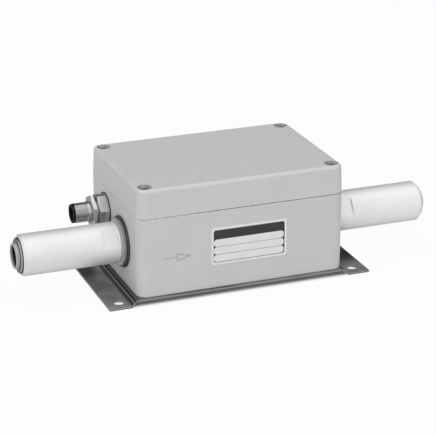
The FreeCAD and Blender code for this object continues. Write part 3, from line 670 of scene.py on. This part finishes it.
def make_moulded(name, dark, light, rough, tint=neutral, mouth=None, shine=0.5):
    """A moulded finish between two levels; mouth is where along X a ring with a black bore opens."""
    material, tree, sockets = start_finish(name, Specular_IOR_Level=shine)
    grain = use_effect(tree, "grain", Scale=2200.0)
    colour = mix_colour(tree, remap(tree, grain["Patch"], 0.3, 0.7), grey(dark, tint), grey(light, tint))
    if mouth is not None:
        # painted shade in the ring's bore
        colour = shade_bore(tree, colour, mouth)
    roughness = remap(tree, grain["Fine"], 0.2, 0.8, rough - bloom_spread, rough + bloom_spread)
    feed(tree, sockets["Base Color"], colour)
    feed(tree, sockets["Roughness"], roughness)
    raise_relief(tree, sockets, grain["Fine"], mould_depth, 0.4)
    return material


print("bores are black from", round(mouth_depth / mm, 1), "mm in")

# %% [markdown]
# ### Seals, rings and the plug's face
# Rubber and plastic differ only by their levels and gloss. The plug's face has hardly any shine, because
# it is a deep, matt black. The board inside the box is lacquered green.

# %% Moulded finishes
board_green = (0.35, 1.0, 0.5)
finishes["black_rubber"] = make_moulded("black_rubber", 0.20, 0.27, 0.62)
finishes["black_plastic"] = make_moulded("black_plastic", 0.03, 0.06, 0.6, shine=0.1)
finishes["grey_plastic"] = make_moulded("grey_plastic", 0.60, 0.66, 0.42)
for node, corner in (("inlet_release_ring", 0), ("outlet_release_ring", 1)):
    finishes[node] = make_moulded(node + "_plastic", 0.60, 0.66, 0.42, mouth=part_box(node)[corner].x)
finishes["board"] = make_moulded("board_lacquer", 0.38, 0.46, 0.35, board_green)
finishes["wire"] = make_moulded("wire_sleeve", 0.30, 0.36, 0.45)
print("finishes so far:", len(finishes))

# %% [markdown]
# ### Label
# The label is a printed film: a pale border round a dark field, and in the field three pale rows below a
# dark heading. Print has no thickness to speak of, so it is drawn by masks in the finish, one rounded
# rectangle each, placed in millimetres from the label's middle. The rows are left blank.

# %% Print on the label
label_middle, label_half = box_of("rating_label")
border = 1.45 * mm
field_corner = 1.5 * mm
heading = 5.75 * mm
row_count = 3
row_line = 0.22 * mm
row_gap = 0.4 * mm
row_corner = 1.9 * mm
print_depth = 0.02 * mm


def print_fields(tree):
    """The ink on the label: the dark field less the rows, which share the height below the heading."""
    field = Vector((label_half.x - border, 1.0, label_half.z - border))
    ink = use_effect(tree, "print_field", Centre=label_middle, Half_Size=field, Corner=field_corner)["Ink"]
    pitch = (2 * field.z - heading - row_line) / row_count
    row = Vector((field.x - (row_line + row_gap) / 2, 1.0, (pitch - row_line) / 2))
    for step in range(row_count):
        height = field.z - heading - (step + 0.5) * pitch
        centre = label_middle + Vector((-row_gap / 2, 0, height))
        blank = use_effect(tree, "print_field", Centre=centre, Half_Size=row, Corner=row_corner)["Ink"]
        ink = calc(tree, "SUBTRACT", ink, blank, clamp=True)
    return ink


def make_label():
    """Pale film with dark ink, both a little cloudy."""
    material, tree, sockets = start_finish("label_film")
    grain = use_effect(tree, "grain", Scale=2600.0)
    pale = mix_colour(tree, grain["Patch"], grey(0.84), grey(0.88))
    dark = mix_colour(tree, grain["Patch"], grey(0.10), grey(0.14))
    ink = print_fields(tree)
    feed(tree, sockets["Base Color"], mix_colour(tree, ink, pale, dark))
    feed(tree, sockets["Roughness"], remap(tree, grain["Fine"], 0.2, 0.8, 0.34, 0.48))
    raise_relief(tree, sockets, ink, print_depth, 0.3)
    return material


finishes["label_film"] = make_label()
label_size = [round(2 * v / mm, 1) for v in (label_half.x, label_half.z)]
print("label size in mm:", label_size, "with", row_count, "rows")

# %% [markdown]
# ## Dressing the solids
# Every solid takes the finish of its own name if there is one, and otherwise that of its material slot.

# %% Give every solid its finish
def dress(piece, material):
    """Put one material on a piece, whatever slots it has."""
    if not piece.material_slots:
        piece.data.materials.append(material)
    for slot in piece.material_slots:
        slot.material = material


for subpart in frame["record"]["subparts"]:
    name = subpart["node"]
    dress(nodes[name], finishes.get(name, finishes.get(subpart["material_slot"])))

# %% [markdown]
# ## Surfaces from grids
# The fine pieces are grids of points worked out as whole arrays. The columns of a grid run round the
# piece and close on themselves. Its rows either close too, like a ring, or end in two single points.

# %% Faces of a grid
def weave(rows, columns, closed):
    """Four-sided faces between the rows of a grid; closed joins the last row to the first."""
    row = np.arange(rows if closed else rows - 1)[:, None]
    column = np.arange(columns)[None, :]
    ahead = (column + 1) % columns
    low = row * columns
    high = (row + 1) % rows * columns
    corners = np.broadcast_arrays(low + column, low + ahead, high + ahead, high + column)
    return np.stack(corners, axis=-1).reshape(-1, 4)


def fan(row, columns, pole):
    """Three-sided faces from one row of a grid to a single point."""
    column = np.arange(columns)
    first = row * columns
    turned = np.stack([first + column, first + (column + 1) % columns, np.full(columns, pole)], axis=-1)
    return turned if row else turned[:, ::-1]


print("a ring of 3 rows and 4 columns has", len(weave(3, 4, True)), "faces")

# %% [markdown]
# ### From a grid to a piece
# A closed surface has a signed volume, and its sign tells whether the faces point outwards. A piece whose
# volume comes out below zero has the order of its corners turned round. Each piece rides on the sensor's
# body, and its edges stay sharp where two faces meet at a clear angle.

# %% Make a piece
sharp_angle = math.radians(35)


def volume_of(points, triangles):
    """A sixth of the sum of each triangle's corner product; below zero if the faces point inwards."""
    a, b, c = (points[triangles[:, k]] for k in range(3))
    return float(np.einsum("ij,ij->i", a, np.cross(b, c)).sum() / 6)


def add_piece(name, points, quads, triangles, slot, finish):
    """A closed mesh piece from points in millimetres, on the sensor's body, with a slot and a finish."""
    triangles = np.asarray(triangles, dtype=int).reshape(-1, 3)
    flat = np.concatenate([quads[:, [0, 1, 2]], quads[:, [0, 2, 3]], triangles])
    volume = volume_of(points, flat)
    turn = slice(None) if volume > 0 else slice(None, None, -1)
    mesh = bpy.data.meshes.new(name)
    mesh.from_pydata((points * mm).tolist(), [], quads[:, turn].tolist() + triangles[:, turn].tolist())
    mesh.shade_smooth()
    mesh.set_sharp_from_angle(angle=sharp_angle)
    piece = bpy.data.objects.new(name, mesh)
    bpy.context.scene.collection.objects.link(piece)
    dress(piece, finishes[finish])
    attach(piece, "sensor_body")
    print(name, len(points), "points,", round(abs(volume), 1), "mm3")
    return piece


print("edges sharper than", round(math.degrees(sharp_angle)), "degrees stay sharp")

# %% [markdown]
# ## Threaded plug shell
# The plug's mate screws onto a fine 12 mm thread with a pitch of 1 mm. A thread could be a helix cut from
# a cylinder, but a grid gives it directly: the radius depends on the place along the axis less one pitch
# per turn. Near the lock nut the thread runs out into a plain ring, and the front edge is turned off.

# %% Build the threaded shell
thread_pitch = 1.0
thread_depth = 0.45
thread_flat = 0.2
plain_ring = 1.3
shell_edge = 0.5
shell_bore = 5.0
seat_radius = 5.8
nut_gap = 0.1
rows_per_pitch = 14
shell_columns = 96


def turn_shell(low, high, nut_face, crest, axis_y, axis_z):
    """A closed profile carried round the axis, in millimetres.

    On the thread, wave is a triangle of (x / pitch - turn), blunted at crest and root, and the radius is
    the crest less depth times (1 - wave). It fades out before the plain ring and stays below the edge.
    """
    turn = np.linspace(0, 1, shell_columns, endpoint=False)[None, :]
    x = np.arange(low, nut_face, thread_pitch / rows_per_pitch)[:, None]
    wave = np.abs(2 * ((x / thread_pitch - turn) % 1) - 1)
    tooth = np.clip((wave - thread_flat) / (1 - 2 * thread_flat), 0, 1)
    fade = np.clip((nut_face - plain_ring - x) / thread_pitch, 0, 1)
    threaded = np.minimum(crest - thread_depth * (1 - tooth) * fade, crest - shell_edge + x - low)
    tail_x = np.array([nut_face, nut_face, high, high, low])[:, None]
    tail_radius = np.array([crest, seat_radius, seat_radius, shell_bore, shell_bore])[:, None]
    radius = np.concatenate([threaded, tail_radius + 0 * turn])
    along = np.concatenate([x, tail_x]) + 0 * turn
    angle = 2 * np.pi * turn
    return np.stack([along, axis_y + radius * np.cos(angle), axis_z + radius * np.sin(angle)], axis=-1)


shell_low, shell_high = (np.array(corner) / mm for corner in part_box("connector_shell"))
shell_middle = (shell_low + shell_high) / 2
nut_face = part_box("connector_lock_nut")[0].x / mm - nut_gap
shell_crest = (shell_high[2] - shell_low[2]) / 2
shell_grid = turn_shell(shell_low[0], shell_high[0], nut_face, shell_crest, shell_middle[1], shell_middle[2])
shell_points = shell_grid.reshape(-1, 3)
shell_faces = weave(*shell_grid.shape[:2], True)
shell = add_piece("threaded_shell", shell_points, shell_faces, [], "nickel", "threaded_shell")
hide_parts("connector_shell")

# %% [markdown]
# ## Lid screws
# Four pan-head screws with a cross recess hold the lid. The head's top is a height over the circle: a low
# dome, less the depth of the cross. A polar grid follows the round rim exactly, and it is fine enough for
# the four arms.

# %% Shape of one screw
head_height = 2.6
shank_radius = 2.0
dome_drop = 0.7
arm_half_width = 0.55
arm_wall = 0.14
arm_reach = 2.4
arm_end = 0.2
recess_depth = 1.4
recess_rise = 0.6
inner_share = 0.06
head_rows = 30
screw_columns = 120


def ease(value, low, high):
    """0 below low and 1 above high, with a smooth step between."""
    share = np.clip((value - low) / (high - low), 0, 1)
    return share * share * (3 - 2 * share)


def shape_screw(top, tip):
    """One screw about the origin, as a grid of rows round its axis and the two points that close it.

    The top falls with the fourth power of the radius. Each arm is the product of a step across its width
    and a step along its length, and the recess gets shallower towards the arms' ends.
    """
    angle = np.linspace(0, 2 * np.pi, screw_columns, endpoint=False)[None, :]
    radius = np.linspace(inner_share, 1, head_rows)[:, None] * head_radius
    x = np.abs(radius * np.cos(angle))
    y = np.abs(radius * np.sin(angle))
    arms = [1 - ease(across, arm_half_width, arm_half_width + arm_wall) for across in (x, y)]
    cross = np.maximum(*arms) * (1 - ease(radius, arm_reach - arm_end, arm_reach))
    dome = top - dome_drop * (radius / head_radius) ** 4
    height = dome - cross * recess_depth * (1 - recess_rise * radius / arm_reach)
    seat = top - head_height
    side_radius = np.array([head_radius, shank_radius, shank_radius])[:, None]
    side_height = np.array([seat, seat, tip])[:, None]
    radius = np.concatenate([radius, side_radius]) + 0 * angle
    height = np.concatenate([height, side_height + 0 * angle])
    grid = np.stack([radius * np.cos(angle), radius * np.sin(angle), height], axis=-1)
    return grid, np.array([(0, 0, top - recess_depth), (0, 0, tip)])


print("screw heads are", 2 * head_radius, "mm wide")

# %% [markdown]
# ### Zinc of the screws
# The screws' zinc has gone dull in spots, and shade is painted into the cross. The depth below the head's
# top tells where the cross is, so the finish needs no mask of its own for it.

# %% Finish of the lid screws
dull_level = 0.22
bright_level = 0.60
cross_shade_level = 0.04
shade_starts = 0.45 * mm
shade_full = 0.8 * mm


def make_screw_zinc(top):
    """Zinc gone dull in spots, with painted shade wherever the head lies well below its top."""
    material, tree, sockets = start_finish("lid_screw_zinc", Metallic=0.8)
    place = own_place(tree)
    spots = noise(tree, place, 800.0, 3.0, 0.6)
    zinc = mix_colour(tree, remap(tree, spots, 0.38, 0.62), grey(dull_level), grey(bright_level))
    depth = calc(tree, "SUBTRACT", top, axes_of(tree, place)["Z"])
    cross_shade = remap(tree, depth, shade_starts, shade_full, 0.0, 0.95)
    # painted shade in the cross recess
    feed(tree, sockets["Base Color"], mix_colour(tree, cross_shade, zinc, grey(cross_shade_level)))
    feed(tree, sockets["Roughness"], remap(tree, spots, 0.3, 0.7, 0.45, 0.3))
    return material


finishes["lid_screws"] = make_screw_zinc(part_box("lid_screws")[1].z)
print("screw zinc between", dull_level, "and", bright_level)

# %% [markdown]
# ### Four screws in the lid
# One screw is worked out, and copies of it stand in the four corners, each turned as it happened to stop.
# All copies are turned and moved in one array step, and the numbers of their corners shift with them.

# %% Stand the screws in the lid
screw_turns = np.radians((35.0, 20.0, 65.0, 40.0))


def stand_screws(centres, turns, top, tip):
    """Points, quads and triangles of one screw copied to the centres, each copy turned by its own angle."""
    grid, poles = shape_screw(top, tip)
    rows, columns = grid.shape[:2]
    one = np.concatenate([grid.reshape(-1, 3), poles])
    quads = weave(rows, columns, False)
    caps = np.concatenate([fan(0, columns, rows * columns), fan(rows - 1, columns, rows * columns + 1)])
    cos = np.cos(turns)[:, None]
    sin = np.sin(turns)[:, None]
    x, y, z = one.T
    turned = np.stack([cos * x - sin * y, sin * x + cos * y, z + 0 * cos], axis=-1)
    points = (turned + centres[:, None]).reshape(-1, 3)
    starts = len(one) * np.arange(len(centres))[:, None, None]
    return points, (quads[None] + starts).reshape(-1, 4), (caps[None] + starts).reshape(-1, 3)


screws_low, screws_high = (np.array(corner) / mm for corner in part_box("lid_screws"))
x_pair = (screws_low[0] + head_radius, screws_high[0] - head_radius)
y_pair = (screws_low[1] + head_radius, screws_high[1] - head_radius)
screw_centres = np.array([(x, y, 0) for x in x_pair for y in y_pair])
screw_parts = stand_screws(screw_centres, screw_turns, screws_high[2], screws_low[2])
screws = add_piece("cross_head_screws", *screw_parts, "screw_steel", "lid_screws")
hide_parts("lid_screws")

# %% [markdown]
# ## Flow arrow
# A thin outlined arrow on the front wall shows which way the air goes. It is printed in a darker grey, so
# it is a layer of ink a few hundredths of a millimetre thick. The head is a closed path of three corners,
# and the ink's square section is carried along it with mitred corners.

# %% Shape of the arrow
arrow_height = 27.2
shaft_start = -50.2
shaft_end = -41.4
head_start = -41.0
head_tip = -31.4
head_half_height = 2.6
stroke = 0.7
ink_thickness = 0.04
front_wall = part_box("housing_base")[0].y / mm


def carry_section(outer, inner):
    """The ink's square section along a closed path: its outer and inner line, each back and front."""
    ink_front = front_wall - ink_thickness
    lines = [(outer, front_wall), (outer, ink_front), (inner, ink_front), (inner, front_wall)]
    sides = [np.stack([line[:, 0], np.full(len(line), y), line[:, 1]], axis=-1) for line, y in lines]
    return np.stack(sides, axis=1)


def outline_head():
    """The head's triangle, and the same triangle shrunk about its incentre by one stroke."""
    corners = np.array([(head_start, head_half_height), (head_tip, 0.0), (head_start, -head_half_height)])
    sides = np.linalg.norm(np.roll(corners, -1, axis=0) - np.roll(corners, 1, axis=0), axis=1)
    incentre = (corners * sides[:, None]).sum(axis=0) / sides.sum()
    inradius = (head_tip - head_start) * 2 * head_half_height / sides.sum()
    inner = incentre + (corners - incentre) * (1 - stroke / inradius)
    lift = np.array([0, arrow_height])
    return carry_section(corners + lift, inner + lift)


def outline_shaft():
    """The shaft as a flat bar: two rows of four corners, one at each end."""
    z = arrow_height + np.array([0.5, 0.5, -0.5, -0.5]) * stroke
    y = front_wall - np.array([0, 1, 1, 0]) * ink_thickness
    ends = np.array([shaft_start, shaft_end])[:, None]
    return np.stack(np.broadcast_arrays(ends, y[None], z[None]), axis=-1)


print("arrow is", round(head_tip - shaft_start, 1), "mm long")

# %% [markdown]
# ### Ink on the wall
# Head and shaft become one piece. The shaft's grid is open, so two faces close its ends, and the numbers
# of its corners start after the head's.

# %% Print the arrow
finishes["arrow_ink"] = make_moulded("arrow_ink", 0.62, 0.67, 0.5)
head_grid = outline_head()
shaft_grid = outline_shaft()
shaft_ends = [(3, 2, 1, 0), (4, 5, 6, 7)]
head_faces = weave(*head_grid.shape[:2], True)
shaft_faces = np.concatenate([weave(2, 4, False), shaft_ends]) + head_grid.size // 3
arrow_points = np.concatenate([head_grid.reshape(-1, 3), shaft_grid.reshape(-1, 3)])
arrow_faces = np.concatenate([head_faces, shaft_faces])
add_piece("flow_arrow", arrow_points, arrow_faces, [], "label_film", "arrow_ink")

# %% [markdown]
# ## Studio
# The object stands in soft light from all round, as for a catalogue. The studio is brighter in front of
# the object than behind it, so round metal gets a darker line along its top.

# %% Light from all round
bright_side = (-0.4, -0.7, 0.58)
front_light = 1.0
back_light = 0.05


def make_world():
    """A studio that is bright in front and overhead and dimmer behind, by the direction looked in."""
    world = bpy.data.worlds.new("studio")
    world.use_nodes = True
    tree = world.node_tree
    direction = tree.nodes.new("ShaderNodeTexCoord").outputs["Generated"]
    towards = vector_calc(tree, "DOT_PRODUCT", direction, bright_side)
    level = remap(tree, towards, -0.45, 0.55, back_light, front_light)
    feed(tree, tree.nodes["Background"].inputs["Strength"], level)
    tree.nodes["Background"].inputs["Color"].default_value = (1, 1, 1, 1)
    return world


bpy.context.scene.world = make_world()
print("studio light runs from", back_light, "behind to", front_light, "in front")

# %% [markdown]
# ### Floor
# The floor is white paper. For the camera and for shiny surfaces it glows, so that it stays white. It
# glows less in the holes of the feet and hardly under the plate's platform, where little light gets in.
# It lies a hair below the feet, because two faces in one plane would flicker.

# %% Glow of the floor
open_glow = 0.95
platform_glow = 0.05
foot_share = 0.6
platform_half = bend_end + 1.5 * mm
platform_fade = (-4.5 * mm, 1.5 * mm)
foot_fade = (-4.0 * mm, -1.0 * mm)


def find_glow(tree):
    """The paper's glow for the camera and for reflections, weaker under the feet and the platform."""
    middle, half = box_of("mounting_plate")
    outwards = vector_calc(tree, "ABSOLUTE", vector_calc(tree, "SUBTRACT", own_place(tree), middle))
    beyond = []
    for half_length in (platform_half, half.x):
        apart = axes_of(tree, vector_calc(tree, "SUBTRACT", outwards, (half_length, half.y, 0)))
        beyond.append(calc(tree, "MAXIMUM", apart["X"], apart["Y"]))
    path = tree.nodes.new("ShaderNodeLightPath").outputs
    seen = calc(tree, "MAXIMUM", path["Is Camera Ray"], path["Is Glossy Ray"])
    seen = calc(tree, "MAXIMUM", seen, path["Is Transmission Ray"])
    glow = calc(tree, "MULTIPLY", seen, remap(tree, beyond[0], *platform_fade, platform_glow, open_glow))
    return calc(tree, "MULTIPLY", glow, remap(tree, beyond[1], *foot_fade, foot_share, 1.0))


print("glow fades out", round(platform_half / mm, 1), "mm from the middle")

# %% [markdown]
# ### Paper
# The paper's own light is a second shader, blended over the plain one by the glow. The paper is wide, so
# that its edges stay out of the picture.

# %% Lay the floor
floor_half = 6.0
floor_drop = 0.05 * mm


def make_paper():
    """Pale, slightly cloudy paper with its glow blended in."""
    material, tree, sockets = start_finish("floor_paper", Roughness=0.9, Specular_IOR_Level=0.0)
    cloud = noise(tree, own_place(tree), 6.0)
    feed(tree, sockets["Base Color"], mix_colour(tree, cloud, grey(0.79), grey(0.81)))
    glow = tree.nodes.new("ShaderNodeEmission")
    blend = tree.nodes.new("ShaderNodeMixShader")
    feed(tree, blend.inputs[0], find_glow(tree))
    tree.links.new(tree.nodes["Principled BSDF"].outputs[0], blend.inputs[1])
    tree.links.new(glow.outputs[0], blend.inputs[2])
    tree.links.new(blend.outputs[0], tree.nodes["Material Output"].inputs["Surface"])
    return material


floor_mesh = bpy.data.meshes.new("floor")
floor_corners = np.array([(-1, -1, 0), (1, -1, 0), (1, 1, 0), (-1, 1, 0)]) * floor_half - (0, 0, floor_drop)
floor_mesh.from_pydata(floor_corners.tolist(), [], [(0, 1, 2, 3)])
floor_mesh.materials.append(make_paper())
floor = bpy.data.objects.new("floor", floor_mesh)
bpy.context.scene.collection.objects.link(floor)
print("floor is", 2 * floor_half, "m wide")

# %% [markdown]
# ### Lamps
# Two large softboxes, one in front and one overhead, add gentle shading. The view is kept plain, so that
# a colour renders about as it is written.

# %% Hang the lamps
softbox_side = 2.0


def hang_lamp(name, place, watts):
    """A square softbox that faces the object's middle."""
    data = bpy.data.lights.new(name, "AREA")
    data.shape = "SQUARE"
    data.size = softbox_side
    data.energy = watts
    lamp = bpy.data.objects.new(name, data)
    bpy.context.scene.collection.objects.link(lamp)
    lamp.location = place
    lamp.rotation_mode = "QUATERNION"
    lamp.rotation_quaternion = (camera_aim - Vector(place)).to_track_quat("-Z", "Y")


hang_lamp("front_softbox", (-0.8, -1.5, 0.6), 9.0)
hang_lamp("top_softbox", (0.2, 0.1, 1.8), 8.0)
bpy.context.scene.view_settings.view_transform = "Standard"
